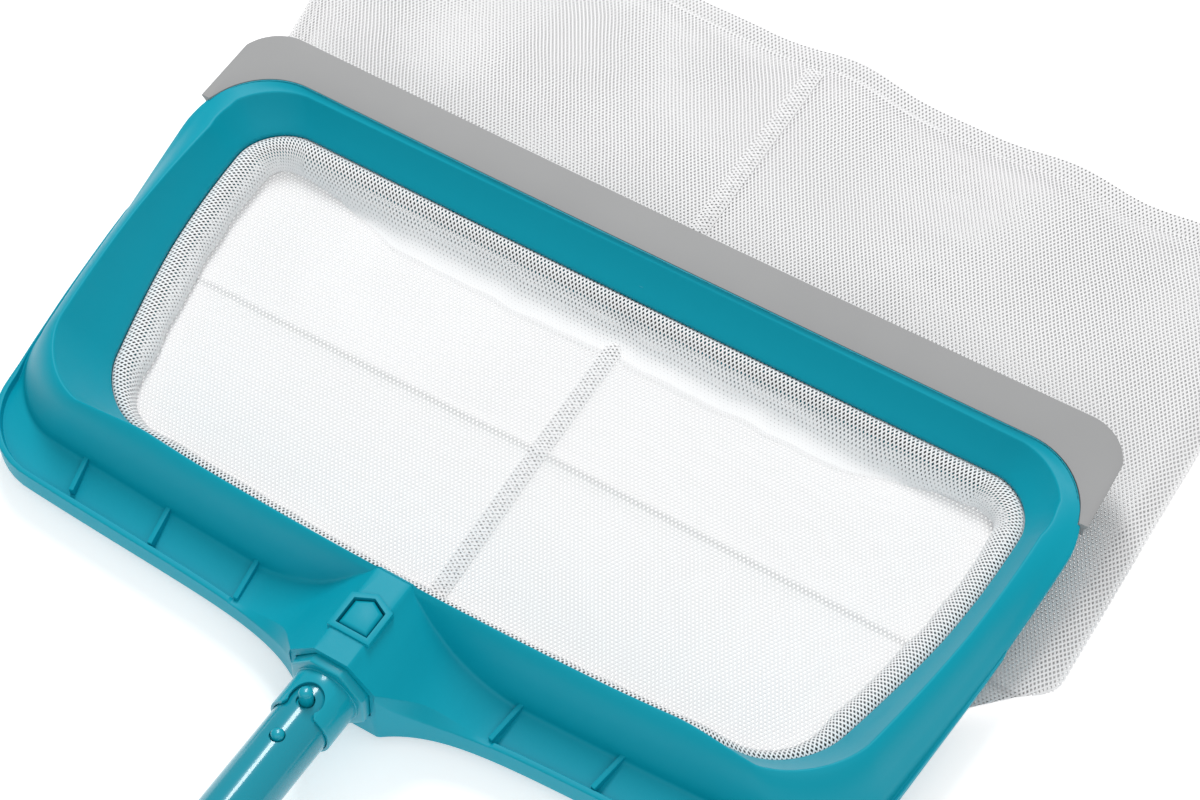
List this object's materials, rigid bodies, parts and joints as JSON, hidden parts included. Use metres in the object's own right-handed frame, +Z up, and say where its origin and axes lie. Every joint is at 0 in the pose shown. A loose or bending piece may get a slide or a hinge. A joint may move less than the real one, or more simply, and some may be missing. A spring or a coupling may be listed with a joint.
{
  "type": "leaf skimmer net",
  "caption": "Pool leaf skimmer: a fine mesh bag on a moulded rectangular frame with a scraper blade and a snap-in handle tube",
  "frame": {"origin": "centre of the object's box at its lowest point, under the middle of the bag", "axes": "+X along the long side of the mouth, +Y from the handle toward the scraper blade and the end of the bag, +Z up out of the mouth"},
  "size_m": [0.578, 0.7858, 0.0923],
  "materials": {
    "moulding": "satin teal moulded plastic",
    "gloss": "glossy teal",
    "blade": "matte grey soft plastic",
    "mesh": "knitted white mesh",
    "ring_rod": "matte grey rod",
    "steel": "plain spring steel"
  },
  "bodies": {
    "skimmer": {"bag_end_hem": "mesh", "bag_left": "mesh", "bag_right": "mesh", "connector": "gloss", "front_frame": "moulding", "handle_tube": "gloss", "latch_spring": "steel", "net_hem": "mesh", "net_ring": "ring_rod", "rear_ring": "moulding", "ring_screw_1": "steel", "ring_screw_10": "steel", "ring_screw_11": "steel", "ring_screw_2": "steel", "ring_screw_3": "steel", "ring_screw_4": "steel", "ring_screw_5": "steel", "ring_screw_6": "steel", "ring_screw_7": "steel", "ring_screw_8": "steel", "ring_screw_9": "steel", "scraper_blade": "blade", "seam_lower": "mesh", "seam_upper": "mesh", "snap_clip_1": "steel", "snap_clip_2": "steel", "tube_plug": "moulding"},
    "latch": {"latch_button": "moulding"},
    "snap_1": {"snap_button_1": "gloss"},
    "snap_2": {"snap_button_2": "gloss"}
  },
  "joints": [
    {"name": "latch_press", "type": "slide", "parent": "skimmer", "child": "latch", "axis": [0, -0.0749, -0.9972], "range_m": [0, 0.004], "stiffness_N_per_m": 600, "springref_m": -0.002, "deforming": ["latch_spring"]},
    {"name": "snap_1_press", "type": "slide", "parent": "skimmer", "child": "snap_1", "axis": [0, -0.1197, -0.9928], "range_m": [0, 0.009], "stiffness_N_per_m": 600, "springref_m": -0.002, "deforming": ["snap_clip_1"]},
    {"name": "snap_2_press", "type": "slide", "parent": "skimmer", "child": "snap_2", "axis": [0, -0.1197, -0.9928], "range_m": [0, 0.0038], "stiffness_N_per_m": 600, "springref_m": -0.002, "deforming": ["snap_clip_2"]}
  ]
}
